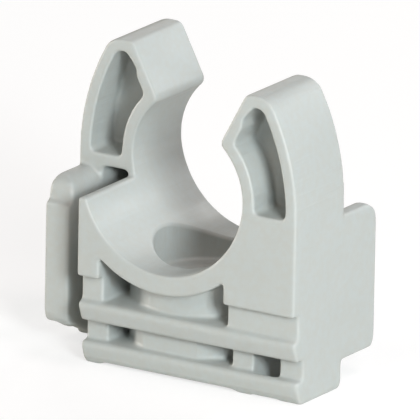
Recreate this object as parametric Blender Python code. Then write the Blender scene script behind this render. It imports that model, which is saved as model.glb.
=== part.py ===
"""Snap-in conduit clip, moulded in one piece.

The clip stands on a foot at z = 0.  The screw axis is the z axis, +x runs to the right along the front
face, and the conduit lies along y.  The whole clip maps onto itself when it is turned half round the
screw axis, so each feature is modelled once, for the front half, and copied by that turn.
"""
import math

import bmesh
import bpy
from mathutils import Matrix, Vector

MM = 0.001

# Cradle for the conduit and the ring round it
CRADLE_RADIUS = 10.1 * MM
CRADLE_CENTRE_Z = 22.1 * MM
RING_WALL = 2.25 * MM
LAND_BELOW_CENTRE = 3.15 * MM

# Plan of the body
HALF_DEPTH = 10.0 * MM
SIDE_WALL = 0.5 * MM
SLOT_WIDTH = 3.25 * MM
TONGUE_THICKNESS = 3.05 * MM

# Gripping arms
ARM_RISE = 11.9 * MM
ARM_BACK_RADIUS = 25.0 * MM
ARM_BACK_BELOW_CENTRE = 1.3 * MM
ARM_CROWN_RADIUS = 2.6 * MM
ARM_TIP_ROUND = 0.9 * MM
GRIP_OFFSET = 2.1 * MM
GRIP_START_ANGLE = math.radians(-14.0)
MOUTH_FLARE = 0.2 * MM
LEAD_IN_ANGLE = math.radians(28.0)
NOSE_RADIUS = 0.75 * MM

# Blind pockets in both faces of each arm, with a web between them
POCKET_WALL = 1.4 * MM
POCKET_INNER_WALL = 1.5 * MM
POCKET_WEB = 0.8 * MM
POCKET_CROWN_LEAD_WALL = 1.45 * MM
POCKET_CROWN_HEIGHT = 1.3 * MM
POCKET_UPPER_LEAD_WALL = 1.1 * MM
POCKET_LOWER_LEAD_WALL = 1.42 * MM
POCKET_STEP_INSET = 0.45 * MM
POCKET_CORNER_ROUND = 0.6 * MM
POCKET_TIP_ROUND = 0.35 * MM
POCKET_NOSE_ROUND = 0.75 * MM

# Stepped front below the cradle, as distances behind the front plane and heights
PANEL_BOTTOM_Z = 10.1 * MM
UPPER_GROOVE_DEPTH = 1.05 * MM
UPPER_RAIL_TOP_Z = 7.35 * MM
UPPER_RAIL_BOTTOM_Z = 4.95 * MM
UPPER_RAIL_SETBACK = 0.05 * MM
UPPER_RAIL_SLOPE = 0.95 * MM
LOWER_GROOVE_DEPTH = 2.2 * MM
LOWER_RAIL_TOP_Z = 2.7 * MM
LOWER_RAIL_SETBACK = 0.95 * MM
LOWER_RAIL_CURVE_DEPTH = 1.1 * MM
RAIL_END_ROUND = 0.8 * MM
RAIL_TOP_ROUND = 0.55 * MM

# Screw boss
BOSS_SETBACK = 1.5 * MM
WINDOW_SIDE_WALL = 2.75 * MM
HOLLOW_END_Y = 2.5 * MM
COUNTERBORE_RADIUS = 6.1 * MM
COUNTERBORE_FLOOR_Z = 9.5 * MM
COUNTERSINK_RADIUS = 4.4 * MM
SCREW_HOLE_RADIUS = 2.5 * MM

# Coupling tongue, and the cavity that takes the next clip's tongue
TONGUE_END_GAP = 3.35 * MM
TONGUE_ABOVE_LAND = 0.3 * MM
TONGUE_BOTTOM_Z = 3.05 * MM
TONGUE_LIP_DROP = 0.55 * MM
TONGUE_LIP_WIDTH = 1.1 * MM
GUSSET_END_GAP = 0.75 * MM
GUSSET_ROOT_Z = 0.2 * MM
TONGUE_INNER_ROUND = 2.0 * MM
TONGUE_CORNER_ROUND = 1.9 * MM
TONGUE_CHAMFER = 0.3 * MM
TONGUE_ROOT = 1.0 * MM
TONGUE_STEP_BACK = 0.75 * MM
TONGUE_STEP_HEIGHT = 2.4 * MM
TONGUE_STEP_DROP = 0.4 * MM
CAVITY_CLEARANCE = 0.15 * MM
CAVITY_CORNER = 0.35 * MM
CAVITY_WINDOW_DEPTH = 0.2 * MM

# Foot
FOOT_RELIEF = 0.33 * MM
RELIEF_HALF_WIDTH_TOP = 8.0 * MM
RELIEF_HALF_WIDTH_BOTTOM = 8.75 * MM
FOOT_CORNER_ROUND = 0.7 * MM

# How finely arcs are divided and how far cutters run past the part
ARC_STEP = math.radians(6.0)
CORNER_STEP = math.radians(22.5)
OVERCUT = 1.0 * MM

# Sizes that follow from the ones above
RING_RADIUS = CRADLE_RADIUS + RING_WALL
GRIP_RADIUS = CRADLE_RADIUS - GRIP_OFFSET
MOUTH_HALF_WIDTH = CRADLE_RADIUS + MOUTH_FLARE
NARROW_SIDE = CRADLE_RADIUS + SIDE_WALL
WINDOW_HALF_WIDTH = NARROW_SIDE - WINDOW_SIDE_WALL
TONGUE_INNER_X = NARROW_SIDE + SLOT_WIDTH
WIDE_SIDE = TONGUE_INNER_X + TONGUE_THICKNESS
LAND_Z = CRADLE_CENTRE_Z - LAND_BELOW_CENTRE
ARM_TOP_Z = CRADLE_CENTRE_Z + ARM_RISE
ARM_BACK_START_Z = CRADLE_CENTRE_Z - ARM_BACK_BELOW_CENTRE
POCKET_FLOOR_Z = ARM_BACK_START_Z
POCKET_DEPTH = (HALF_DEPTH - POCKET_WEB) / 2
POCKET_STEP_X = MOUTH_HALF_WIDTH - POCKET_STEP_INSET
BOSS_RADIUS = HALF_DEPTH - BOSS_SETBACK
TONGUE_REACH = HALF_DEPTH - TONGUE_END_GAP
TONGUE_TOP_Z = LAND_Z + TONGUE_ABOVE_LAND
CAVITY_TOP_Z = TONGUE_TOP_Z + CAVITY_CLEARANCE
CAVITY_FRONT_WALL = LOWER_GROOVE_DEPTH - CAVITY_WINDOW_DEPTH
HALF_TURN = Matrix.Rotation(math.pi, 4, "Z")


def remove_everything():
    """Empties the scene the script is run in."""
    for item in list(bpy.data.objects):
        bpy.data.objects.remove(item, do_unlink=True)


def make_collection(name):
    collection = bpy.data.collections.new(name)
    bpy.context.scene.collection.children.link(collection)
    return collection


def arc(centre, radius, start, end, step=ARC_STEP):
    """Points along an arc, both ends included."""
    count = max(2, math.ceil(abs(end - start) / step))
    points = []
    for index in range(count + 1):
        angle = start + (end - start) * index / count
        points.append((centre[0] + radius * math.cos(angle), centre[1] + radius * math.sin(angle)))
    return points


def mirrored(points):
    """The same points on the other side of x = 0, in reverse order."""
    return [(-x, y) for x, y in reversed(points)]


def rounded(before, corner, after, radius, step=CORNER_STEP):
    """Points of a round that replaces the corner between two straight edges."""
    middle = Vector(corner)
    toward = (Vector(before) - middle).normalized()
    onward = (Vector(after) - middle).normalized()
    half = toward.angle(onward) / 2
    centre = middle + (toward + onward).normalized() * (radius / math.sin(half))
    first = middle + toward * (radius / math.tan(half)) - centre
    turn = first.angle_signed(middle + onward * (radius / math.tan(half)) - centre)
    start = math.atan2(first.y, first.x)
    return arc(centre, radius, start, start - turn, step)


def outline_solid(name, outline, low, high, along, collection):
    """A closed outline pushed out between two planes.

    Along "Y" the outline is read as (x, z), along "X" as (y, z), along "Z" as (x, y).
    """
    curve = bpy.data.curves.new(name, "CURVE")
    curve.dimensions = "2D"
    curve.fill_mode = "BOTH"
    curve.extrude = (high - low) / 2
    spline = curve.splines.new("POLY")
    spline.points.add(len(outline) - 1)
    for point, (u, v) in zip(spline.points, outline):
        point.co = (u, v, 0.0, 1.0)
    spline.use_cyclic_u = True
    drawn = bpy.data.objects.new(name + "_outline", curve)
    collection.objects.link(drawn)
    middle = (low + high) / 2
    if along == "Y":
        drawn.rotation_euler = (math.pi / 2, 0.0, 0.0)
        drawn.location = (0.0, middle, 0.0)
    elif along == "X":
        drawn.rotation_euler = (math.pi / 2, 0.0, math.pi / 2)
        drawn.location = (middle, 0.0, 0.0)
    else:
        drawn.location = (0.0, 0.0, middle)
    bpy.context.view_layer.update()
    depsgraph = bpy.context.evaluated_depsgraph_get()
    mesh = bpy.data.meshes.new_from_object(drawn.evaluated_get(depsgraph))
    mesh.transform(drawn.matrix_world)
    bpy.data.objects.remove(drawn, do_unlink=True)
    tidy_mesh(mesh)
    return add_object(name, mesh, collection)


def tidy_mesh(mesh):
    """Welds a mesh, merges the flat faces and turns the faces outward."""
    work = bmesh.new()
    work.from_mesh(mesh)
    bmesh.ops.remove_doubles(work, verts=work.verts, dist=0.00001)
    bmesh.ops.dissolve_limit(work, angle_limit=math.radians(0.5), verts=work.verts, edges=work.edges)
    bmesh.ops.dissolve_degenerate(work, dist=0.00001, edges=work.edges)
    loose = [edge for edge in work.edges if not edge.link_faces]
    bmesh.ops.delete(work, geom=loose, context="EDGES")
    bmesh.ops.recalc_face_normals(work, faces=work.faces)
    work.to_mesh(mesh)
    work.free()


def add_object(name, mesh, collection):
    item = bpy.data.objects.new(name, mesh)
    collection.objects.link(item)
    return item


def box(name, low, high, collection):
    """A box between two opposite corners."""
    mesh = bpy.data.meshes.new(name)
    work = bmesh.new()
    bmesh.ops.create_cube(work, size=1.0)
    for vert in work.verts:
        vert.co = Vector(low[i] + (high[i] - low[i]) * (vert.co[i] + 0.5) for i in range(3))
    work.to_mesh(mesh)
    work.free()
    return add_object(name, mesh, collection)


def upright_cone(name, radius_low, radius_high, z_low, z_high, segments, collection):
    """A round solid on the screw axis, a cylinder when both radii are equal."""
    mesh = bpy.data.meshes.new(name)
    work = bmesh.new()
    bmesh.ops.create_cone(
        work, cap_ends=True, cap_tris=False, segments=segments,
        radius1=radius_low, radius2=radius_high, depth=z_high - z_low,
        matrix=Matrix.Translation((0.0, 0.0, (z_low + z_high) / 2)))
    work.to_mesh(mesh)
    work.free()
    return add_object(name, mesh, collection)


def half_turned(item, collection):
    """The copy of an object turned half round the screw axis."""
    mesh = item.data.copy()
    mesh.transform(HALF_TURN)
    return add_object(item.name + "_back", mesh, collection)


def combine(target, other, operation):
    """Applies a Boolean of one object onto another and hides the second."""
    modifier = target.modifiers.new(operation.lower(), "BOOLEAN")
    modifier.operation = operation
    modifier.solver = "EXACT"
    modifier.object = other
    bpy.context.view_layer.update()
    depsgraph = bpy.context.evaluated_depsgraph_get()
    result = bpy.data.meshes.new_from_object(target.evaluated_get(depsgraph))
    target.modifiers.remove(modifier)
    old = target.data
    target.data = result
    bpy.data.meshes.remove(old)
    tidy_mesh(target.data)


def arm_back(offset):
    """The arm's outer line from its root to the middle of its crown, moved inward by an offset."""
    centre = (WIDE_SIDE - ARM_BACK_RADIUS, ARM_BACK_START_Z)
    back_radius = ARM_BACK_RADIUS - offset
    crown_radius = ARM_CROWN_RADIUS - offset
    crown_z = ARM_TOP_Z - ARM_CROWN_RADIUS
    gap = ARM_BACK_RADIUS - ARM_CROWN_RADIUS
    rise = math.asin((crown_z - centre[1]) / gap)
    crown = (centre[0] + gap * math.cos(rise), crown_z)
    line = arc(centre, back_radius, 0.0, rise, math.radians(5.0))
    turn = arc(crown, crown_radius, rise, math.pi / 2, math.radians(14.0))
    return line + turn[1:]


def lead_in_x(z, wall=0.0):
    """Where the slanted lead-in face, moved into the arm by a wall, stands at a height."""
    return MOUTH_HALF_WIDTH - (ARM_TOP_Z - z) * math.tan(LEAD_IN_ANGLE) + wall / math.cos(LEAD_IN_ANGLE)


def grip_centre():
    """Centre of the arm's inner arc, which leaves the cradle tangentially at GRIP_START_ANGLE."""
    x = GRIP_OFFSET * math.cos(GRIP_START_ANGLE)
    z = CRADLE_CENTRE_Z + GRIP_OFFSET * math.sin(GRIP_START_ANGLE)
    return x, z


def lead_in_crossing(radius, wall):
    """Angle at which a circle round the grip centre meets the lead-in line moved in by a wall."""
    centre = grip_centre()
    low = 0.0
    high = math.radians(80.0)
    for _ in range(60):
        angle = (low + high) / 2
        x = centre[0] + radius * math.cos(angle)
        z = centre[1] + radius * math.sin(angle)
        if x > lead_in_x(z, wall):
            low = angle
        else:
            high = angle
    return (low + high) / 2


def conduit_space():
    """Right-hand border of the space between the arms, from the cradle's bottom to above the mouth."""
    centre = grip_centre()
    nose_angle = lead_in_crossing(GRIP_RADIUS + NOSE_RADIUS, NOSE_RADIUS)
    nose = (centre[0] + (GRIP_RADIUS + NOSE_RADIUS) * math.cos(nose_angle),
            centre[1] + (GRIP_RADIUS + NOSE_RADIUS) * math.sin(nose_angle))
    land_angle = -math.asin(LAND_BELOW_CENTRE / CRADLE_RADIUS)
    cradle_centre = (0.0, CRADLE_CENTRE_Z)
    cradle = arc(cradle_centre, CRADLE_RADIUS, -math.pi / 2, land_angle, math.radians(5.0))
    cradle += arc(cradle_centre, CRADLE_RADIUS, land_angle, GRIP_START_ANGLE)[1:]
    grip = arc(centre, GRIP_RADIUS, GRIP_START_ANGLE, nose_angle)
    tip = arc(nose, NOSE_RADIUS, math.pi + nose_angle, math.pi - LEAD_IN_ANGLE, math.radians(25.0))
    corner = (MOUTH_HALF_WIDTH, ARM_TOP_Z)
    edge = rounded(tip[-1], corner, (corner[0] + OVERCUT, ARM_TOP_Z), ARM_TIP_ROUND)
    above = (edge[-1][0], ARM_TOP_Z + OVERCUT)
    return cradle + grip[1:] + tip[1:] + edge + [above]


def pocket_outline():
    """The pocket follows the arm's outline inside its walls, with a small step beside the nose."""
    centre = grip_centre()
    inner_radius = GRIP_RADIUS + POCKET_INNER_WALL
    tip_angle = lead_in_crossing(inner_radius, POCKET_LOWER_LEAD_WALL)
    floor_angle = math.asin((POCKET_FLOOR_Z - centre[1]) / inner_radius)
    back = arm_back(POCKET_WALL)
    inner = arc(centre, inner_radius, tip_angle, floor_angle)
    crown = (lead_in_x(back[-1][1], POCKET_CROWN_LEAD_WALL), back[-1][1])
    waist_z = crown[1] - POCKET_CROWN_HEIGHT
    waist = (lead_in_x(waist_z, POCKET_UPPER_LEAD_WALL), waist_z)
    upper_start = ARM_TOP_Z - (MOUTH_HALF_WIDTH - POCKET_STEP_X) / math.tan(LEAD_IN_ANGLE)
    upper_step = (POCKET_STEP_X, upper_start - POCKET_UPPER_LEAD_WALL / math.sin(LEAD_IN_ANGLE))
    lower_step = (POCKET_STEP_X, upper_start - POCKET_LOWER_LEAD_WALL / math.sin(LEAD_IN_ANGLE))
    outer_corner = (WIDE_SIDE - POCKET_WALL, POCKET_FLOOR_Z)
    outline = rounded(inner[-1], outer_corner, back[1], POCKET_CORNER_ROUND)
    outline += back[1:-1]
    outline += rounded(back[-2], crown, waist, POCKET_TIP_ROUND)
    outline += [waist, upper_step, lower_step]
    outline += rounded(lower_step, inner[0], inner[2], POCKET_NOSE_ROUND)
    outline += inner[2:-1]
    outline += rounded(inner[-2], inner[-1], outer_corner, POCKET_CORNER_ROUND)
    return outline


def front_steps():
    """What is cut from the front below the panel: two grooves, leaving two rails, as (y, z)."""
    front = -HALF_DEPTH
    upper_nose = front + UPPER_RAIL_SETBACK
    lower_nose = front + LOWER_RAIL_SETBACK
    curve_radius = (LOWER_RAIL_CURVE_DEPTH ** 2 + LOWER_RAIL_TOP_Z ** 2) / (2 * LOWER_RAIL_CURVE_DEPTH)
    curve_angle = math.asin(LOWER_RAIL_TOP_Z / curve_radius)
    curve = arc((lower_nose + curve_radius, LOWER_RAIL_TOP_Z), curve_radius,
                math.pi, math.pi + curve_angle, curve_angle / 3)
    outside = front - OVERCUT
    upper_floor = front + UPPER_GROOVE_DEPTH
    lower_floor = front + LOWER_GROOVE_DEPTH
    upper_back = (upper_floor, UPPER_RAIL_TOP_Z)
    upper_foot = (upper_nose + UPPER_RAIL_SLOPE, UPPER_RAIL_BOTTOM_Z)
    lower_back = (lower_floor, LOWER_RAIL_TOP_Z)
    return [
        (outside, PANEL_BOTTOM_Z),
        (upper_floor, PANEL_BOTTOM_Z),
        upper_back,
    ] + rounded(upper_back, (upper_nose, UPPER_RAIL_TOP_Z), upper_foot, RAIL_TOP_ROUND) + [
        upper_foot,
        (lower_floor, UPPER_RAIL_BOTTOM_Z),
        lower_back,
    ] + rounded(lower_back, curve[0], curve[1], RAIL_TOP_ROUND) + curve[2:] + [
        (curve[-1][0], -OVERCUT),
        (outside, -OVERCUT),
    ]


def tongue_section():
    """Section of the right tongue across its thickness, as (x, z)."""
    outer = WIDE_SIDE
    inner = TONGUE_INNER_X
    lip_z = TONGUE_BOTTOM_Z - TONGUE_LIP_DROP
    crown = (inner + TONGUE_INNER_ROUND, TONGUE_TOP_Z - TONGUE_INNER_ROUND)
    return [
        (outer, TONGUE_BOTTOM_Z),
        (outer, TONGUE_TOP_Z - 3 * TONGUE_CHAMFER),
        (outer - TONGUE_CHAMFER, TONGUE_TOP_Z),
    ] + arc(crown, TONGUE_INNER_ROUND, math.pi / 2, math.pi, math.radians(15.0)) + [
        (inner, lip_z),
        (inner + TONGUE_LIP_WIDTH, lip_z),
        (inner + TONGUE_LIP_WIDTH + TONGUE_LIP_DROP, TONGUE_BOTTOM_Z),
    ]


def tongue_side(step_back):
    """The tongue seen from the side, with round corners, its top set back by a step, as (y, z)."""
    corner = TONGUE_CORNER_ROUND
    low = TONGUE_BOTTOM_Z - TONGUE_LIP_DROP
    end = TONGUE_REACH - corner
    outline = [(-TONGUE_ROOT, low)]
    outline += arc((end, low + corner), corner, -math.pi / 2, 0.0, CORNER_STEP)
    if step_back > 0.0:
        step_z = TONGUE_TOP_Z - TONGUE_STEP_HEIGHT
        outline += [(TONGUE_REACH, step_z - TONGUE_STEP_DROP), (TONGUE_REACH - step_back, step_z)]
    outline += arc((end - step_back, TONGUE_TOP_Z - corner), corner, 0.0, math.pi / 2, CORNER_STEP)
    return outline + [(-TONGUE_ROOT, TONGUE_TOP_Z)]


def gusset_side():
    """The thin web that carries the tongue's lower edge down to the foot of its wall, as (y, z)."""
    inside = TONGUE_BOTTOM_Z + TONGUE_ROOT
    tip = TONGUE_REACH - GUSSET_END_GAP
    middle = (tip * 0.8, TONGUE_BOTTOM_Z * 0.82)
    return [(-TONGUE_ROOT, GUSSET_ROOT_Z), (0.0, GUSSET_ROOT_Z), middle, (tip, TONGUE_BOTTOM_Z),
            (tip, inside), (-TONGUE_ROOT, inside)]


def build_tongue(name, step_back, cutters):
    """The right tongue, for the back half."""
    tongue = outline_solid(name, tongue_section(), -TONGUE_ROOT, TONGUE_REACH, "Y", cutters)
    side = outline_solid(name + "_side", tongue_side(step_back), TONGUE_INNER_X - OVERCUT,
                         WIDE_SIDE + OVERCUT, "X", cutters)
    combine(tongue, side, "INTERSECT")
    gusset = outline_solid(name + "_gusset", gusset_side(), TONGUE_INNER_X,
                           TONGUE_INNER_X + TONGUE_LIP_WIDTH, "X", cutters)
    combine(tongue, gusset, "UNION")
    return tongue


def foot_corner(cutters):
    """What rounds the arm block's lower corner where it ends at the middle of the part."""
    size = FOOT_CORNER_ROUND
    outline = [(-size, -OVERCUT), (OVERCUT, -OVERCUT), (OVERCUT, size)]
    outline += arc((-size, size), size, 0.0, -math.pi / 2, CORNER_STEP)
    return outline_solid("foot_corner", outline, 0.0, WIDE_SIDE + OVERCUT, "X", cutters)


def build_body(parts, cutters):
    """Joins the core, the two arm blocks and the two tongues."""
    body = box("conduit_clip", (-NARROW_SIDE, -HALF_DEPTH, 0.0), (NARROW_SIDE, HALF_DEPTH, LAND_Z), parts)
    inside = MOUTH_HALF_WIDTH / 2
    block_outline = [(inside, 0.0), (WIDE_SIDE, 0.0)] + arm_back(0.0) + [(inside, ARM_TOP_Z)]
    block = outline_solid("arm_block", block_outline, -HALF_DEPTH, 0.0, "Y", cutters)
    combine(block, foot_corner(cutters), "DIFFERENCE")
    combine(body, block, "UNION")
    combine(body, half_turned(block, cutters), "UNION")
    combine(body, build_tongue("right_tongue", 0.0, cutters), "UNION")
    left_tongue = half_turned(build_tongue("left_tongue", TONGUE_STEP_BACK, cutters), cutters)
    combine(body, left_tongue, "UNION")
    return body


def cut_both(body, cutter, cutters):
    """Cuts one shape from the front half and its turned copy from the back half."""
    combine(body, cutter, "DIFFERENCE")
    combine(body, half_turned(cutter, cutters), "DIFFERENCE")


def ring_guard(cutters):
    """The ring that keeps its full round where the front is stepped back below it."""
    circle = arc((0.0, CRADLE_CENTRE_Z), RING_RADIUS, 0.0, 2 * math.pi, math.radians(5.0))[:-1]
    return outline_solid("ring_guard", circle, -HALF_DEPTH - 2 * OVERCUT, 0.0, "Y", cutters)


def rail_end(name, side, nose_y, low, high, cutters):
    """What rounds the corner of a front rail at one of its ends, seen from above."""
    size = RAIL_END_ROUND
    inward = -math.copysign(1.0, side)
    outside = side - inward * OVERCUT
    curve = rounded((side, nose_y + 2 * size), (side, nose_y), (side + inward * 2 * size, nose_y), size)
    outline = curve + [(curve[-1][0], nose_y - OVERCUT), (outside, nose_y - OVERCUT), (outside, curve[0][1])]
    return outline_solid(name, outline, low, high, "Z", cutters)


def build_rail_ends(cutters):
    """The rounds at the right ends of both front rails."""
    between = (LOWER_RAIL_TOP_Z + UPPER_RAIL_BOTTOM_Z) / 2
    above = (UPPER_RAIL_TOP_Z + PANEL_BOTTOM_Z) / 2
    upper_nose = -HALF_DEPTH + UPPER_RAIL_SETBACK
    lower_nose = -HALF_DEPTH + LOWER_RAIL_SETBACK
    upper = rail_end("upper_rail_end", WIDE_SIDE, upper_nose, between, above, cutters)
    lower = rail_end("lower_rail_end", WIDE_SIDE, lower_nose, -OVERCUT, between, cutters)
    return [upper, lower]


def build_front_cutters(cutters):
    """The stepped front and the two hollows that show the screw boss."""
    ring = ring_guard(cutters)
    boss = upright_cone("boss_guard", BOSS_RADIUS, BOSS_RADIUS, -2 * OVERCUT, ARM_TOP_Z, 72, cutters)
    steps = outline_solid("front_steps", front_steps(), -WIDE_SIDE - OVERCUT, WIDE_SIDE + OVERCUT, "X", cutters)
    combine(steps, ring, "DIFFERENCE")
    front = -HALF_DEPTH - OVERCUT
    upper = box("upper_hollow", (-WINDOW_HALF_WIDTH, front, UPPER_RAIL_TOP_Z),
                (WINDOW_HALF_WIDTH, -HOLLOW_END_Y, CRADLE_CENTRE_Z - CRADLE_RADIUS + OVERCUT), cutters)
    combine(upper, ring, "DIFFERENCE")
    combine(upper, boss, "DIFFERENCE")
    lower = box("lower_hollow", (-WINDOW_HALF_WIDTH, front, LOWER_RAIL_TOP_Z),
                (WINDOW_HALF_WIDTH, -HOLLOW_END_Y, UPPER_RAIL_BOTTOM_Z), cutters)
    combine(lower, boss, "DIFFERENCE")
    return [steps, upper, lower]


def cavity_outline():
    """Section of the slot beside the core, flush with the tongue's inner face, as (x, z)."""
    return [
        (NARROW_SIDE, -OVERCUT),
        (TONGUE_INNER_X, -OVERCUT),
        (TONGUE_INNER_X, CAVITY_TOP_Z - CAVITY_CORNER),
        (TONGUE_INNER_X - CAVITY_CORNER, CAVITY_TOP_Z),
        (NARROW_SIDE + CAVITY_CORNER, CAVITY_TOP_Z),
        (NARROW_SIDE, CAVITY_TOP_Z - CAVITY_CORNER),
    ]


def cut_conduit_space(body, cutters):
    right = conduit_space()
    outline = right + mirrored(right[1:])
    reach = HALF_DEPTH + OVERCUT
    combine(body, outline_solid("conduit_space", outline, -reach, reach, "Y", cutters), "DIFFERENCE")


def cut_screw_hole(body, cutters):
    above = CRADLE_CENTRE_Z
    sink_depth = (COUNTERSINK_RADIUS - SCREW_HOLE_RADIUS)
    bore = upright_cone("counterbore", COUNTERBORE_RADIUS, COUNTERBORE_RADIUS, COUNTERBORE_FLOOR_Z, above,
                        64, cutters)
    spread = OVERCUT
    sink = upright_cone("countersink", SCREW_HOLE_RADIUS, COUNTERSINK_RADIUS + spread,
                        COUNTERBORE_FLOOR_Z - sink_depth, COUNTERBORE_FLOOR_Z + spread, 48, cutters)
    hole = upright_cone("screw_hole", SCREW_HOLE_RADIUS, SCREW_HOLE_RADIUS, -OVERCUT, above, 48, cutters)
    for cutter in (bore, sink, hole):
        combine(body, cutter, "DIFFERENCE")


def cut_foot_relief(body, cutters):
    slope = (RELIEF_HALF_WIDTH_BOTTOM - RELIEF_HALF_WIDTH_TOP) / FOOT_RELIEF
    low_half = RELIEF_HALF_WIDTH_BOTTOM + slope * OVERCUT
    outline = [(-low_half, -OVERCUT), (low_half, -OVERCUT),
               (RELIEF_HALF_WIDTH_TOP, FOOT_RELIEF), (-RELIEF_HALF_WIDTH_TOP, FOOT_RELIEF)]
    reach = HALF_DEPTH + OVERCUT
    combine(body, outline_solid("foot_relief", outline, -reach, reach, "Y", cutters), "DIFFERENCE")


def plastic():
    """Light grey moulded plastic."""
    material = bpy.data.materials.new("light_grey_plastic")
    material.use_nodes = True
    shader = material.node_tree.nodes["Principled BSDF"]
    shader.inputs["Base Color"].default_value = (0.60, 0.61, 0.60, 1.0)
    shader.inputs["Roughness"].default_value = 0.45
    shader.inputs["Metallic"].default_value = 0.0
    return material


def main():
    remove_everything()
    parts = make_collection("conduit_clip")
    cutters = make_collection("cutters")
    body = build_body(parts, cutters)
    cut_conduit_space(body, cutters)
    for cutter in build_front_cutters(cutters) + build_rail_ends(cutters):
        cut_both(body, cutter, cutters)
    cavity = outline_solid("tongue_cavity", cavity_outline(), -HALF_DEPTH + CAVITY_FRONT_WALL, OVERCUT / 2,
                           "Y", cutters)
    cut_both(body, cavity, cutters)
    front_pocket = outline_solid("front_pocket", pocket_outline(), -HALF_DEPTH - OVERCUT,
                                 -HALF_DEPTH + POCKET_DEPTH, "Y", cutters)
    cut_both(body, front_pocket, cutters)
    rear_pocket = outline_solid("rear_pocket", pocket_outline(), -POCKET_DEPTH, OVERCUT, "Y", cutters)
    cut_both(body, rear_pocket, cutters)
    cut_foot_relief(body, cutters)
    cut_screw_hole(body, cutters)
    for cutter in cutters.objects:
        cutter.hide_render = True
        cutter.display_type = "WIRE"
    body.data.materials.clear()
    body.data.materials.append(plastic())
    body.data.shade_smooth()
    body.data.set_sharp_from_angle(angle=math.radians(30.0))


main()
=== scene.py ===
"""Studio picture of a moulded snap-in conduit clip.

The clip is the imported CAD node.  This script lays a fine skin over it, rounds its edges, gives it a satin
moulded plastic finish, and sets up a pale floor, soft light and the camera.  All lengths are in metres.
"""

import logging
import math
from dataclasses import dataclass
from enum import Enum
from typing import Union

import bpy
from mathutils import Matrix, Vector


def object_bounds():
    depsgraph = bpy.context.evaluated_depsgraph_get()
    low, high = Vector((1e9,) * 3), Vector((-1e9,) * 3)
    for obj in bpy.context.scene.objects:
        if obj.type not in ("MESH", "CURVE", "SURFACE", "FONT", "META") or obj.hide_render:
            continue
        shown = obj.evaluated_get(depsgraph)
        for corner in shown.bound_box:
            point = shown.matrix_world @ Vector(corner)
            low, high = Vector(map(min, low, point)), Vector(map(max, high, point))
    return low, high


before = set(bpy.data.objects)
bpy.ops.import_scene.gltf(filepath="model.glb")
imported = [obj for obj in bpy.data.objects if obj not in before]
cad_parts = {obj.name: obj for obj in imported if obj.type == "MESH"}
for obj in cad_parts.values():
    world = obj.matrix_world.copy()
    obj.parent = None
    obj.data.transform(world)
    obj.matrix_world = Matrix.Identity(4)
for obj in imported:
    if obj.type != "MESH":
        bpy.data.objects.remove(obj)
CAD_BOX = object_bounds()

LOG = logging.getLogger("conduit_clip")
MM = 0.001
WHITE = (1.0, 1.0, 1.0, 1.0)

Colour = tuple[float, float, float]
Point = tuple[float, float]
Socket = bpy.types.NodeSocket
Value = Union[bpy.types.NodeSocket, float]
Shade = Union[bpy.types.NodeSocket, tuple[float, float, float, float]]
Content = Union[bpy.types.NodeSocket, float, str, tuple[float, ...]]

# What the skin carries on its points, and how much of an edge is lost where it starts to be paler and where
# it is palest; the paler edges are partly wear and partly a painted highlight.
SKIN_PLACE = "skin_place"
SKIN_LIE = "skin_lie"
SKIN_EDGE = "skin_edge"
EDGE_LOSS = (0.04 * MM, 0.17 * MM)

# A point belongs to a round surface when it lies this near to it, faces it this squarely, and is this far
# inside both of its ends.
ROUND_REACH = 0.05 * MM
ROUND_FACING = (0.94, 0.99)
ROUND_FADE = math.radians(2.0)

# The grain: shares of its pits and waves beside its fine noise, and patches of sheen to a metre.
PIT_SHARE = 0.5
WAVE_SHARE = 0.45
SHEEN_SCALE = 260.0

# The colour: stretch of the melt's flow, warm patches across one drift, and the faintest that an edge's
# paler wear and painted highlight get.
MELT_STRETCH = (1.0, 0.5, 0.6)
WARM_PATCHES = 12.0
FAINTEST_EDGE = 0.35

# Values of noise where a patch, and the sheen, begin and end.
PATCH_ENDS = (0.35, 0.65)
SHEEN_ENDS = (0.3, 0.7)

# The picture's frame: its side in pixels, its scale, and the point in its middle in millimetres.
PICTURE_SIDE = 420
PIXELS_PER_MM = 9.32
PICTURE_MIDDLE = (-0.108, 0.0, 16.88)


class Modifier(Enum):
    """Kinds of modifier that shape the skin."""

    SKIN = "REMESH"
    GROUP = "NODES"
    ROUNDER = "SMOOTH"
    THINNER = "DECIMATE"


class TreeKind(Enum):
    """Kinds of node group."""

    SHADER = "ShaderNodeTree"
    SHAPE = "GeometryNodeTree"


class SocketKind(Enum):
    """Kinds of socket on a node group."""

    SHAPE = "NodeSocketGeometry"
    NUMBER = "NodeSocketFloat"
    VECTOR = "NodeSocketVector"
    COLOUR = "NodeSocketColor"


class Stored(Enum):
    """Kinds of value that a skin's points carry."""

    NUMBER = "FLOAT"
    VECTOR = "FLOAT_VECTOR"


class Plane(Enum):
    """Planes that the round surfaces are drawn in, as their across and up directions."""

    FRONT_RIGHT = ((1.0, 0.0, 0.0), (0.0, 0.0, 1.0))
    FRONT_LEFT = ((-1.0, 0.0, 0.0), (0.0, 0.0, 1.0))
    SIDE_BACK = ((0.0, 1.0, 0.0), (0.0, 0.0, 1.0))
    SIDE_FRONT = ((0.0, -1.0, 0.0), (0.0, 0.0, 1.0))
    PLAN = ((1.0, 0.0, 0.0), (0.0, 1.0, 0.0))


@dataclass(frozen=True)
class RoundFace:
    """A round surface of the clip, drawn in a plane; lengths in millimetres, angles in degrees."""

    planes: tuple[Plane, ...]
    centre: Point
    radius: float
    start: float
    end: float


def shifted(start: Point, length: float, angle: float) -> Point:
    """Finds the point at a distance from another.

    Args:
        start: The other point, in millimetres.
        length: Distance in millimetres.
        angle: Direction in degrees, 0 across and 90 up.

    Returns:
        The point, in millimetres.
    """
    turn = math.radians(angle)
    return start[0] + length * math.cos(turn), start[1] + length * math.sin(turn)


def rise_angle(rise: float, length: float) -> float:
    """Angle in degrees of a line of some length that rises this far."""
    return math.degrees(math.asin(rise / length))
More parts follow.
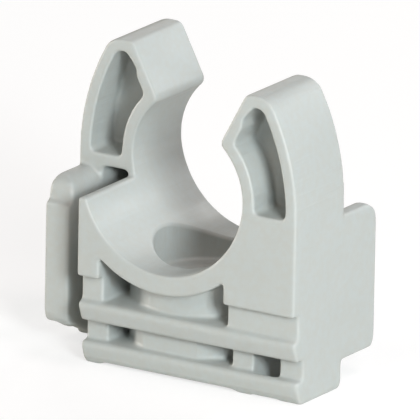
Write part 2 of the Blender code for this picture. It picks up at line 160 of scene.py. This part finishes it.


# Driving sizes of the arcs, in millimetres and degrees; the clip's overall size is that of the imported
# model.
HALF_WIDTH, HALF_DEPTH, HEIGHT = (reach / MM for reach in CAD_BOX[1])
CRADLE_CENTRE = (0.0, 22.1)
CRADLE_RADIUS = 10.1
GRIP_RADIUS = 8.0
GRIP_START = -14.0
NOSE_START = 47.3
ARM_BACK_RADIUS = 25.0
ARM_BACK_START = 20.8
ARM_CROWN_RADIUS = 2.6
POCKET_WALL = 1.4
POCKET_GRIP_WALL = 1.5
POCKET_STEP_START = 44.3
FOOT_RAIL_TOP = 2.7
FOOT_RAIL_SETBACK = 0.95
FOOT_CURVE_DEPTH = 1.1
SCREW_AXIS = (0.0, 0.0)
WHOLE_TURN = (-190.0, 190.0)

# The grip leaves the cradle tangentially, and the crown leaves the arm's back tangentially.
GRIP_CENTRE = shifted(CRADLE_CENTRE, CRADLE_RADIUS - GRIP_RADIUS, GRIP_START)
ARM_BACK_CENTRE = (HALF_WIDTH - ARM_BACK_RADIUS, ARM_BACK_START)
CROWN_REACH = ARM_BACK_RADIUS - ARM_CROWN_RADIUS
ARM_RISE = rise_angle(HEIGHT - ARM_CROWN_RADIUS - ARM_BACK_START, CROWN_REACH)
ARM_CROWN_CENTRE = shifted(ARM_BACK_CENTRE, CROWN_REACH, ARM_RISE)
POCKET_GRIP_RADIUS = GRIP_RADIUS + POCKET_GRIP_WALL
POCKET_START = rise_angle(ARM_BACK_START - GRIP_CENTRE[1], POCKET_GRIP_RADIUS)
FOOT_RADIUS = (FOOT_CURVE_DEPTH ** 2 + FOOT_RAIL_TOP ** 2) / (2 * FOOT_CURVE_DEPTH)
FOOT_CENTRE = (HALF_DEPTH - FOOT_RAIL_SETBACK - FOOT_RADIUS, FOOT_RAIL_TOP)
FOOT_START = rise_angle(-FOOT_RAIL_TOP, FOOT_RADIUS)

FRONT = (Plane.FRONT_RIGHT,)
BACK_SIDE = (Plane.SIDE_BACK,)
FRONT_SIDE = (Plane.SIDE_FRONT,)
BOTH_ARMS = (Plane.FRONT_RIGHT, Plane.FRONT_LEFT)
PLAN = (Plane.PLAN,)
ROUND_FACES = {
    "cradle": RoundFace(FRONT, CRADLE_CENTRE, CRADLE_RADIUS, -166.0, -14.0),
    "ring": RoundFace(FRONT, CRADLE_CENTRE, 12.35, -175.0, -5.0),
    "grip": RoundFace(BOTH_ARMS, GRIP_CENTRE, GRIP_RADIUS, GRIP_START, NOSE_START),
    "arm_back": RoundFace(BOTH_ARMS, ARM_BACK_CENTRE, ARM_BACK_RADIUS, 0.0, ARM_RISE),
    "arm_crown": RoundFace(BOTH_ARMS, ARM_CROWN_CENTRE, ARM_CROWN_RADIUS, ARM_RISE, 90.0),
    "pocket_back": RoundFace(BOTH_ARMS, ARM_BACK_CENTRE, ARM_BACK_RADIUS - POCKET_WALL, 0.0, ARM_RISE),
    "pocket_crown": RoundFace(BOTH_ARMS, ARM_CROWN_CENTRE, ARM_CROWN_RADIUS - POCKET_WALL, ARM_RISE, 90.0),
    "pocket_inner": RoundFace(BOTH_ARMS, GRIP_CENTRE, POCKET_GRIP_RADIUS, POCKET_START, POCKET_STEP_START),
    "tongue_crown": RoundFace(BOTH_ARMS, (15.85, 17.25), 2.0, 90.0, 182.0),
    "right_tongue_foot": RoundFace(BACK_SIDE, (4.75, 4.4), 1.9, -90.0, 0.0),
    "right_tongue_top": RoundFace(BACK_SIDE, (4.75, 17.35), 1.9, 0.0, 90.0),
    "left_tongue_foot": RoundFace(FRONT_SIDE, (4.75, 4.4), 1.9, -90.0, 0.0),
    "left_tongue_top": RoundFace(FRONT_SIDE, (4.0, 17.35), 1.9, 0.0, 90.0),
    "foot_rail": RoundFace(FRONT_SIDE + BACK_SIDE, FOOT_CENTRE, FOOT_RADIUS, FOOT_START, 0.0),
    "screw_boss": RoundFace(PLAN, SCREW_AXIS, 8.5, *WHOLE_TURN),
    "counterbore": RoundFace(PLAN, SCREW_AXIS, 6.1, *WHOLE_TURN),
    "screw_hole": RoundFace(PLAN, SCREW_AXIS, 2.5, *WHOLE_TURN),
}


@dataclass(frozen=True)
class PlasticFinish:
    """Look of the moulded plastic."""

    colour: Colour = (0.388, 0.419, 0.412)
    warm_colour: Colour = (0.386, 0.404, 0.387)
    # Paler edges: partly wear, partly a painted highlight on the rims.
    wear_and_highlight_colour: Colour = (0.50, 0.51, 0.49)
    wear_and_highlight_strength: float = 0.5
    edge_patch: float = 3.0 * MM
    ior: float = 1.49
    roughness: float = 0.48
    roughness_spread: float = 0.10
    grain_size: float = 0.12 * MM
    grain_height: float = 0.018 * MM
    grain_strength: float = 0.5
    wave_size: float = 0.7 * MM
    drift_size: float = 9.0 * MM
    drift_amount: float = 0.035


@dataclass(frozen=True)
class FloorFinish:
    """Look of the studio floor."""

    colour: Colour = (0.925, 0.91, 0.88)
    seen_colour: Colour = (0.32, 0.32, 0.32)
    roughness: float = 0.9
    specular: float = 0.1
    glow: float = 0.69


@dataclass(frozen=True)
class SoftBox:
    """One square studio light aimed at the clip; angles in degrees."""

    name: str
    azimuth: float
    elevation: float
    watts: float
    colour: Colour
    distance: float = 0.55
    width: float = 0.12


STUDIO_LIGHTS = (
    SoftBox("key", 50.0, 20.0, 2.42, (0.92, 0.985, 1.0)),
    SoftBox("key_low", 58.0, 12.0, 0.575, (0.92, 0.965, 1.0)),
    SoftBox("key_high", 50.0, 40.0, 0.45, (1.0, 0.93, 0.92)),
    SoftBox("top_right", 90.0, 65.0, 0.735, (1.0, 0.87, 0.85)),
    SoftBox("fill_left", -75.0, 5.0, 2.12, (1.0, 0.93, 0.86)),
    SoftBox("front_top", 0.0, 40.0, 0.49, (1.0, 0.89, 0.79)),
    SoftBox("rim_right", 150.0, 20.0, 0.67, (0.94, 0.98, 1.0)),
    SoftBox("rim_back", 180.0, 25.0, 0.67, (1.0, 1.0, 0.98)),
    SoftBox("rim_left", 215.0, 30.0, 0.40, (1.0, 0.97, 0.93)),
)


def direction(azimuth: float, elevation: float) -> Vector:
    """Unit vector from the clip towards a place in the studio.

    Args:
        azimuth: Degrees round the vertical axis, 0 in front of the clip and 90 to its right.
        elevation: Degrees above the floor.

    Returns:
        The direction in the clip's frame.
    """
    turn = math.radians(azimuth)
    rise = math.radians(elevation)
    return Vector((math.sin(turn) * math.cos(rise), -math.cos(turn) * math.cos(rise), math.sin(rise)))


class NodeSheet:
    """Small helper that adds nodes to a tree and joins them."""

    def __init__(self, tree: bpy.types.NodeTree) -> None:
        """Keeps the tree that nodes are added to."""
        self.tree = tree

    def add(self, kind: str, **settings: object) -> bpy.types.Node:
        """Adds a node.

        Args:
            kind: Node type name.
            **settings: Node properties to set.

        Returns:
            The new node.
        """
        node = self.tree.nodes.new(kind)
        for key, value in settings.items():
            setattr(node, key, value)
        return node

    def feed(self, entry: Socket, value: Content) -> None:
        """Gives an input its value.

        Args:
            entry: Socket that takes it.
            value: Socket to link, or the value to set.
        """
        if isinstance(value, bpy.types.NodeSocket):
            self.tree.links.new(value, entry)
        else:
            entry.default_value = value

    def math(self, operation: str, *values: Value) -> Socket:
        """Adds a maths node.

        Args:
            operation: What it works out.
            *values: Sockets or numbers it takes.

        Returns:
            The socket of its result.
        """
        node = self.add("ShaderNodeMath", operation=operation)
        for entry, value in zip(node.inputs, values):
            self.feed(entry, value)
        return node.outputs["Value"]

    def ramp(self, value: Value, begin: Value, end: Value, low: float = 0.0, high: float = 1.0) -> Socket:
        """Adds a clamped ramp.

        Args:
            value: What it reads.
            begin: Where it gives the low number.
            end: Where it gives the high number.
            low: Number at its beginning.
            high: Number at its end.

        Returns:
            The socket of its result.
        """
        node = self.add("ShaderNodeMapRange")
        names = ("Value", "From Min", "From Max", "To Min", "To Max")
        for name, part in zip(names, (value, begin, end, low, high)):
            self.feed(node.inputs[name], part)
        return node.outputs["Result"]

    def mix(self, factor: Value, first: Shade, second: Shade) -> Socket:
        """Adds a mix of two colours.

        Args:
            factor: Share of the second colour.
            first: Socket or colour at a share of 0.
            second: Socket or colour at a share of 1.

        Returns:
            The socket of the mixed colour.
        """
        node = self.add("ShaderNodeMix", data_type="RGBA")
        for name, part in (("Factor", factor), ("A", first), ("B", second)):
            self.feed(node.inputs[name], part)
        return node.outputs["Result"]

    def vector(self, operation: str, first: Socket, second: Socket) -> bpy.types.Node:
        """Adds a vector maths node.

        Args:
            operation: What it works out.
            first: Socket of the first vector.
            second: Socket of the second vector.

        Returns:
            The node.
        """
        node = self.add("ShaderNodeVectorMath", operation=operation)
        self.feed(node.inputs[0], first)
        self.feed(node.inputs[1], second)
        return node

    def dot(self, first: Socket, second: Socket) -> Socket:
        """Adds the dot product of two vectors and returns its socket."""
        return self.vector("DOT_PRODUCT", first, second).outputs["Value"]

    def scaled(self, vector: Socket, factor: Value) -> Socket:
        """Adds a vector times a number.

        Args:
            vector: Socket of the vector.
            factor: Socket or number that it is multiplied by.

        Returns:
            The socket of the longer or shorter vector.
        """
        node = self.add("ShaderNodeVectorMath", operation="SCALE")
        self.feed(node.inputs[0], vector)
        self.feed(node.inputs["Scale"], factor)
        return node.outputs["Vector"]

    def object_place(self) -> Socket:
        """Adds the place on the object that a texture reads and returns its socket."""
        return self.add("ShaderNodeTexCoord").outputs["Object"]

    def noise(self, place: Socket, scale: Value, **settings: float) -> Socket:
        """Adds a noise texture.

        Args:
            place: Socket of the place it reads.
            scale: Patches to a metre.
            **settings: Numbers for its other inputs, by their names.

        Returns:
            The socket of its value.
        """
        node = self.add("ShaderNodeTexNoise")
        self.feed(node.inputs["Vector"], place)
        self.feed(node.inputs["Scale"], scale)
        for name, value in settings.items():
            self.feed(node.inputs[name], value)
        return node.outputs["Fac"]

    def note(self, shape: Socket, name: str, kind: Stored, value: Socket) -> Socket:
        """Stores a value on each point of a shape.

        Args:
            shape: Socket of the shape.
            name: Name to store it under.
            kind: Kind of the value.
            value: Socket that gives it.

        Returns:
            The socket of the shape that holds it.
        """
        node = self.add("GeometryNodeStoreNamedAttribute", data_type=kind.value, domain="POINT")
        for entry, part in (("Geometry", shape), ("Name", name), ("Value", value)):
            self.feed(node.inputs[entry], part)
        return node.outputs["Geometry"]

    def noted(self, name: str) -> Socket:
        """Reads a vector that note() stored.

        Args:
            name: Name that it was stored under.

        Returns:
            The socket of the vector.
        """
        node = self.add("GeometryNodeInputNamedAttribute", data_type=Stored.VECTOR.value)
        self.feed(node.inputs["Name"], name)
        return node.outputs["Attribute"]


class GroupSheet(NodeSheet):
    """A node group with named inputs and outputs, and the nodes between them."""

    def __init__(self, name: str, kind: TreeKind, inputs: dict[str, SocketKind],
                 outputs: dict[str, SocketKind]) -> None:
        """Makes the group and its sockets.

        Args:
            name: Name of the group.
            kind: Kind of the group.
            inputs: Kinds of its inputs, by their names.
            outputs: Kinds of its outputs, by their names.
        """
        super().__init__(bpy.data.node_groups.new(name, kind.value))
        for side, sockets in (("INPUT", inputs), ("OUTPUT", outputs)):
            for label, socket in sockets.items():
                self.tree.interface.new_socket(label, in_out=side, socket_type=socket.value)
        self.entry = self.add("NodeGroupInput").outputs
        self.result = self.add("NodeGroupOutput").inputs


def grain_group() -> bpy.types.NodeTree:
    """Fine surface grain left by the mould, on slow waves.

    Returns:
        A shader group that gives a height and a patchy sheen.
    """
    sheet = GroupSheet("mould_grain", TreeKind.SHADER,
                       {"Grain Size": SocketKind.NUMBER, "Wave Size": SocketKind.NUMBER},
                       {"Height": SocketKind.NUMBER, "Sheen Patches": SocketKind.NUMBER})
    place = sheet.object_place()
    scale = sheet.math("DIVIDE", 1.0, sheet.entry["Grain Size"])
    fine = sheet.noise(place, scale, Detail=3.0, Roughness=0.6)
    pits = sheet.add("ShaderNodeTexVoronoi", feature="SMOOTH_F1")
    sheet.feed(pits.inputs["Vector"], place)
    sheet.feed(pits.inputs["Scale"], scale)
    waves = sheet.noise(place, sheet.math("DIVIDE", 1.0, sheet.entry["Wave Size"]), Detail=1.0)
    pitted = sheet.math("MULTIPLY_ADD", pits.outputs["Distance"], PIT_SHARE, fine)
    sheet.feed(sheet.result["Height"], sheet.math("MULTIPLY_ADD", waves, WAVE_SHARE, pitted))
    sheet.feed(sheet.result["Sheen Patches"], sheet.noise(place, SHEEN_SCALE, Detail=2.0))
    return sheet.tree


def drift_group() -> bpy.types.NodeTree:
    """Slow drift in the plastic's brightness, stretched along the melt's flow, and small warmer patches.

    Returns:
        A shader group that gives a tinted colour.
    """
    sheet = GroupSheet("colour_drift", TreeKind.SHADER,
                       {"Colour": SocketKind.COLOUR, "Warm Colour": SocketKind.COLOUR,
                        "Drift Size": SocketKind.NUMBER, "Amount": SocketKind.NUMBER},
                       {"Colour": SocketKind.COLOUR})
    place = sheet.object_place()
    scale = sheet.math("DIVIDE", 1.0, sheet.entry["Drift Size"])
    flow = sheet.add("ShaderNodeMapping")
    sheet.feed(flow.inputs["Scale"], MELT_STRETCH)
    sheet.feed(flow.inputs["Vector"], place)
    cloud = sheet.noise(flow.outputs["Vector"], scale, Detail=4.0, Distortion=0.8)
    shift = sheet.math("MULTIPLY_ADD", sheet.math("SUBTRACT", cloud, 0.5), sheet.entry["Amount"], 1.0)
    patches = sheet.noise(place, sheet.math("MULTIPLY", scale, WARM_PATCHES), Detail=2.0)
    patched = sheet.mix(sheet.ramp(patches, *PATCH_ENDS), sheet.entry["Colour"], sheet.entry["Warm Colour"])
    tint = sheet.add("ShaderNodeHueSaturation")
    sheet.feed(tint.inputs["Color"], patched)
    sheet.feed(tint.inputs["Value"], shift)
    sheet.feed(sheet.result["Colour"], tint.outputs["Color"])
    return sheet.tree


def wear_and_highlight_group() -> bpy.types.NodeTree:
    """Mask of the rounded edges, painted paler partly as wear and partly as a painted highlight, broken up
    by patches.

    Returns:
        A shader group that gives the mask.
    """
    sheet = GroupSheet("rim_wear_and_painted_highlight", TreeKind.SHADER,
                       {"Patch Size": SocketKind.NUMBER}, {"Edge": SocketKind.NUMBER})
    edge = sheet.add("ShaderNodeAttribute", attribute_name=SKIN_EDGE).outputs["Fac"]
    scale = sheet.math("DIVIDE", 1.0, sheet.entry["Patch Size"])
    patches = sheet.noise(sheet.object_place(), scale, Detail=3.0)
    broken = sheet.ramp(patches, *PATCH_ENDS, low=FAINTEST_EDGE)
    sheet.feed(sheet.result["Edge"], sheet.math("MULTIPLY", edge, broken))
    return sheet.tree


def round_group() -> bpy.types.NodeTree:
    """Moves the points that lie on the flats of a round surface out to its true radius.

    Returns:
        A geometry group for one round surface.
    """
    vectors = ("Across Direction", "Up Direction")
    numbers = ("Centre Across", "Centre Up", "Radius", "Start", "End")
    inputs = {"Geometry": SocketKind.SHAPE}
    inputs.update({name: SocketKind.VECTOR for name in vectors})
    inputs.update({name: SocketKind.NUMBER for name in numbers})
    sheet = GroupSheet("true_round", TreeKind.SHAPE, inputs, {"Geometry": SocketKind.SHAPE})
    place = sheet.add("GeometryNodeInputPosition").outputs["Position"]
    normal = sheet.add("GeometryNodeInputNormal").outputs["Normal"]
    across, up = (sheet.entry[name] for name in vectors)
    centre_across, centre_up, radius, start, end = (sheet.entry[name] for name in numbers)

    side = sheet.math("SUBTRACT", sheet.dot(place, across), centre_across)
    rise = sheet.math("SUBTRACT", sheet.dot(place, up), centre_up)
    reach = sheet.math("SQRT", sheet.math("MULTIPLY_ADD", side, side, sheet.math("MULTIPLY", rise, rise)))
    angle = sheet.math("ARCTAN2", rise, side)
    gap = sheet.math("ABSOLUTE", sheet.math("SUBTRACT", reach, radius))
    outward = sheet.math("MULTIPLY_ADD", sheet.dot(normal, across), side,
                         sheet.math("MULTIPLY", sheet.dot(normal, up), rise))
    facing = sheet.math("ABSOLUTE", sheet.math("DIVIDE", outward, reach))

    weight = sheet.ramp(gap, ROUND_REACH, ROUND_REACH / 2)
    for part in (sheet.ramp(facing, *ROUND_FACING),
                 sheet.ramp(angle, start, sheet.math("ADD", start, ROUND_FADE)),
                 sheet.ramp(angle, end, sheet.math("SUBTRACT", end, ROUND_FADE))):
        weight = sheet.math("MULTIPLY", weight, part)
    stretch = sheet.math("SUBTRACT", sheet.math("DIVIDE", radius, reach), 1.0)
    stretch = sheet.math("MULTIPLY", stretch, weight)
    move = sheet.vector("ADD", sheet.scaled(across, sheet.math("MULTIPLY", side, stretch)),
                        sheet.scaled(up, sheet.math("MULTIPLY", rise, stretch)))
    mover = sheet.add("GeometryNodeSetPosition")
    sheet.feed(mover.inputs["Geometry"], sheet.entry["Geometry"])
    sheet.feed(mover.inputs["Offset"], move.outputs["Vector"])
    sheet.feed(sheet.result["Geometry"], mover.outputs["Geometry"])
    return sheet.tree


def shape_group(name: str) -> GroupSheet:
    """Starts a geometry group that takes one shape and gives one back.

    Args:
        name: Name of the group.

    Returns:
        The group's sheet.
    """
    return GroupSheet(name, TreeKind.SHAPE, {"Geometry": SocketKind.SHAPE}, {"Geometry": SocketKind.SHAPE})


def rounds_group(faces: dict[str, RoundFace]) -> bpy.types.NodeTree:
    """Runs the clip's round surfaces through the round group, one after another.

    Args:
        faces: The round surfaces by name.

    Returns:
        A geometry group for a modifier.
    """
    sheet = shape_group("true_rounds")
    shape = sheet.entry["Geometry"]
    one_round = round_group()
    for name, face in faces.items():
        for plane in face.planes:
            across, up = plane.value
            sizes: dict[str, Content] = {
                "Geometry": shape,
                "Across Direction": across,
                "Up Direction": up,
                "Centre Across": face.centre[0] * MM,
                "Centre Up": face.centre[1] * MM,
                "Radius": face.radius * MM,
                "Start": math.radians(face.start),
                "End": math.radians(face.end),
            }
            turner = sheet.add("GeometryNodeGroup", node_tree=one_round, label=name)
            for entry, size in sizes.items():
                sheet.feed(turner.inputs[entry], size)
            shape = turner.outputs["Geometry"]
    sheet.feed(sheet.result["Geometry"], shape)
    return sheet.tree


def noted_place_group() -> bpy.types.NodeTree:
    """Notes where each point of the skin is before its edges are rounded.

    Returns:
        A geometry group for a modifier.
    """
    sheet = shape_group("noted_place")
    place = sheet.add("GeometryNodeInputPosition").outputs["Position"]
    shape = sheet.note(sheet.entry["Geometry"], SKIN_PLACE, Stored.VECTOR, place)
    sheet.feed(sheet.result["Geometry"], shape)
    return sheet.tree


def noted_lie_group() -> bpy.types.NodeTree:
    """Notes how the rounded skin lies, and how much of an edge each of its points has lost.

    Returns:
        A geometry group for a modifier.
    """
    sheet = shape_group("noted_lie")
    place = sheet.add("GeometryNodeInputPosition").outputs["Position"]
    normal = sheet.add("GeometryNodeInputNormal").outputs["Normal"]
    lost = sheet.vector("SUBTRACT", sheet.noted(SKIN_PLACE), place).outputs["Vector"]
    edge = sheet.ramp(sheet.dot(lost, normal), *EDGE_LOSS)
    shape = sheet.note(sheet.entry["Geometry"], SKIN_LIE, Stored.VECTOR, normal)
    sheet.feed(sheet.result["Geometry"], sheet.note(shape, SKIN_EDGE, Stored.NUMBER, edge))
    return sheet.tree


def kept_lie_group() -> bpy.types.NodeTree:
    """Shades the thinned skin by the lie that was noted on the fine one.

    Returns:
        A geometry group for a modifier.
    """
    sheet = shape_group("kept_lie")
    shader = sheet.add("GeometryNodeSetMeshNormal", mode="FREE", domain="POINT")
    sheet.feed(shader.inputs["Mesh"], sheet.entry["Geometry"])
    sheet.feed(shader.inputs["Custom Normal"], sheet.noted(SKIN_LIE))
    sheet.feed(sheet.result["Geometry"], shader.outputs["Mesh"])
    return sheet.tree


@dataclass
class ClipMoulding:
    """The clip itself: rounded edges, smooth arcs and the plastic."""

    node: bpy.types.Object
    finish: PlasticFinish
    skin_size: float = 0.12 * MM
    rounding_passes: int = 45
    rounding: float = 0.5
    kept_share: float = 0.17

    def build(self) -> None:
        """Adds the modifiers that lay an even skin over the facets, round its edges and thin it out."""
        skin = self.step("even_skin", Modifier.SKIN)
        skin.mode = "VOXEL"
        skin.voxel_size = self.skin_size
        skin.use_smooth_shade = True
        rounds = rounds_group(ROUND_FACES)
        self.step("true_rounds", Modifier.GROUP).node_group = rounds
        self.step("noted_place", Modifier.GROUP).node_group = noted_place_group()
        rounder = self.step("rounded_edges", Modifier.ROUNDER)
        rounder.factor = self.rounding
        rounder.iterations = self.rounding_passes
        self.step("true_rounds_again", Modifier.GROUP).node_group = rounds
        self.step("noted_lie", Modifier.GROUP).node_group = noted_lie_group()
        thinner = self.step("fewer_faces", Modifier.THINNER)
        thinner.decimate_type = "COLLAPSE"
        thinner.ratio = self.kept_share
        self.step("kept_lie", Modifier.GROUP).node_group = kept_lie_group()
        LOG.info("clip: edges rounded, skin of %.2f mm", self.skin_size / MM)

    def step(self, name: str, kind: Modifier) -> bpy.types.Modifier:
        """Adds a modifier to the clip and returns it."""
        return self.node.modifiers.new(name, kind.value)

    def dress(self) -> bpy.types.Material:
        """Gives the clip its moulded plastic.

        Returns:
            The material.
        """
        look = self.finish
        material = bpy.data.materials.new("satin_plastic")
        material.use_nodes = True
        sheet = NodeSheet(material.node_tree)
        shader = material.node_tree.nodes["Principled BSDF"]
        shader.inputs["IOR"].default_value = look.ior
        self.colour(sheet, shader)
        grain = sheet.add("ShaderNodeGroup", node_tree=grain_group())
        grain.inputs["Grain Size"].default_value = look.grain_size
        grain.inputs["Wave Size"].default_value = look.wave_size
        spread = look.roughness_spread / 2
        gloss = sheet.ramp(grain.outputs["Sheen Patches"], *SHEEN_ENDS,
                           low=look.roughness - spread, high=look.roughness + spread)
        sheet.feed(shader.inputs["Roughness"], gloss)
        bump = sheet.add("ShaderNodeBump")
        bump.inputs["Distance"].default_value = look.grain_height
        bump.inputs["Strength"].default_value = look.grain_strength
        sheet.feed(bump.inputs["Height"], grain.outputs["Height"])
        sheet.feed(shader.inputs["Normal"], bump.outputs["Normal"])
        self.node.data.materials.clear()
        self.node.data.materials.append(material)
        LOG.info("clip: %s", material.name)
        return material

    def colour(self, sheet: NodeSheet, shader: bpy.types.Node) -> None:
        """Feeds the shader its drifting colour with paler edges, partly wear and partly a painted highlight.

        Args:
            sheet: The material's sheet.
            shader: Shader that takes the colour.
        """
        look = self.finish
        drift = sheet.add("ShaderNodeGroup", node_tree=drift_group())
        drift.inputs["Colour"].default_value = (*look.colour, 1.0)
        drift.inputs["Warm Colour"].default_value = (*look.warm_colour, 1.0)
        drift.inputs["Drift Size"].default_value = look.drift_size
        drift.inputs["Amount"].default_value = look.drift_amount
        edge = sheet.add("ShaderNodeGroup", node_tree=wear_and_highlight_group())
        edge.inputs["Patch Size"].default_value = look.edge_patch
        # Edges painted paler: partly wear, partly a painted highlight.
        share = sheet.math("MULTIPLY", edge.outputs["Edge"], look.wear_and_highlight_strength)
        paler = sheet.mix(share, drift.outputs["Colour"], (*look.wear_and_highlight_colour, 1.0))
        sheet.feed(shader.inputs["Base Color"], paler)


@dataclass
class StudioFloor:
    """Plain pale floor under the clip."""

    finish: FloorFinish
    side: float = 6.0

    def build(self) -> bpy.types.Object:
        """Makes the floor.

        Returns:
            The floor.
        """
        mesh = bpy.data.meshes.new("studio_floor")
        half = self.side / 2
        corners = [(-half, -half, 0.0), (half, -half, 0.0), (half, half, 0.0), (-half, half, 0.0)]
        mesh.from_pydata(corners, [], [(0, 1, 2, 3)])
        floor = bpy.data.objects.new("studio_floor", mesh)
        bpy.context.scene.collection.objects.link(floor)
        LOG.info("floor: %.1f m square", self.side)
        return floor

    def dress(self, floor: bpy.types.Object) -> None:
        """Paints the floor, which glows for the camera alone so that its picture stays near white.

        Args:
            floor: The floor that build() made.
        """
        look = self.finish
        material = bpy.data.materials.new("pale_floor")
        material.use_nodes = True
        shader = material.node_tree.nodes["Principled BSDF"]
        shader.inputs["Roughness"].default_value = look.roughness
        shader.inputs["Specular IOR Level"].default_value = look.specular
        shader.inputs["Emission Color"].default_value = WHITE
        sheet = NodeSheet(material.node_tree)
        seen = sheet.add("ShaderNodeLightPath").outputs["Is Camera Ray"]
        shade = sheet.mix(seen, (*look.colour, 1.0), (*look.seen_colour, 1.0))
        sheet.feed(shader.inputs["Base Color"], shade)
        sheet.feed(shader.inputs["Emission Strength"], sheet.math("MULTIPLY", seen, look.glow))
        floor.data.materials.append(material)
        LOG.info("floor: %s", material.name)


@dataclass
class LightRig:
    """Soft boxes, and a white backdrop that lights nothing."""

    boxes: tuple[SoftBox, ...]
    aim: Vector

    def build(self) -> None:
        """Makes the lights and the backdrop."""
        for box in self.boxes:
            self.hang(box)
        world = bpy.data.worlds.new("studio_backdrop")
        world.use_nodes = True
        backdrop = world.node_tree.nodes["Background"]
        backdrop.inputs["Color"].default_value = WHITE
        sheet = NodeSheet(world.node_tree)
        seen = sheet.add("ShaderNodeLightPath").outputs["Is Camera Ray"]
        sheet.feed(backdrop.inputs["Strength"], seen)
        bpy.context.scene.world = world
        LOG.info("backdrop: %s", world.name)

    def hang(self, box: SoftBox) -> bpy.types.Object:
        """Places one soft box.

        Args:
            box: Its size, power and place.

        Returns:
            The light object.
        """
        lamp = bpy.data.lights.new(box.name, "AREA")
        lamp.shape = "SQUARE"
        lamp.size = box.width
        lamp.energy = box.watts
        lamp.color = box.colour
        item = bpy.data.objects.new(box.name, lamp)
        toward = direction(box.azimuth, box.elevation)
        item.location = self.aim + toward * box.distance
        item.rotation_mode = "QUATERNION"
        item.rotation_quaternion = toward.to_track_quat("Z", "Y")
        item.visible_camera = False
        bpy.context.scene.collection.objects.link(item)
        LOG.info("light: %s, %.2f W", box.name, box.watts)
        return item


@dataclass
class StudioCamera:
    """Long-lens camera at the picture's viewing angle; angles in degrees, lens and sensor in millimetres."""

    azimuth: float
    elevation: float
    roll: float
    view_width: float
    aim: Vector
    lens: float = 1500.0
    sensor: float = 36.0
    clip_factor: float = 10.0

    def build(self) -> bpy.types.Object:
        """Makes the camera and sets it as the scene's.

        Returns:
            The camera object.
        """
        back = direction(self.azimuth, self.elevation)
        turn = math.radians(self.azimuth)
        right = Vector((math.cos(turn), math.sin(turn), 0.0))
        up = back.cross(right)
        tilt = math.radians(self.roll)
        rolled_right = right * math.cos(tilt) + up * math.sin(tilt)
        rolled_up = up * math.cos(tilt) - right * math.sin(tilt)
        distance = self.view_width * self.lens / self.sensor
        place = self.aim + back * distance
        data = bpy.data.cameras.new("studio_camera")
        data.lens = self.lens
        data.sensor_width = self.sensor
        data.clip_start = distance / self.clip_factor
        data.clip_end = distance * self.clip_factor
        camera = bpy.data.objects.new("studio_camera", data)
        camera.matrix_world = Matrix((
            (rolled_right.x, rolled_up.x, back.x, place.x),
            (rolled_right.y, rolled_up.y, back.y, place.y),
            (rolled_right.z, rolled_up.z, back.z, place.z),
            (0.0, 0.0, 0.0, 1.0)))
        bpy.context.scene.collection.objects.link(camera)
        bpy.context.scene.camera = camera
        LOG.info("camera: %.2f m away", distance)
        return camera


def main() -> None:
    """Builds and dresses every piece."""
    logging.basicConfig(level=logging.INFO, format="%(name)s: %(message)s")
    moulding = ClipMoulding(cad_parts["conduit_clip"], PlasticFinish())
    moulding.build()
    moulding.dress()
    ground = StudioFloor(FloorFinish())
    ground.dress(ground.build())
    aim = Vector(PICTURE_MIDDLE) * MM
    LightRig(STUDIO_LIGHTS, aim).build()
    view_width = PICTURE_SIDE / PIXELS_PER_MM * MM
    StudioCamera(azimuth=31.99, elevation=16.75, roll=1.08, view_width=view_width, aim=aim).build()
    bpy.context.scene.view_settings.view_transform = "Standard"


if __name__ == "__main__":
    main()
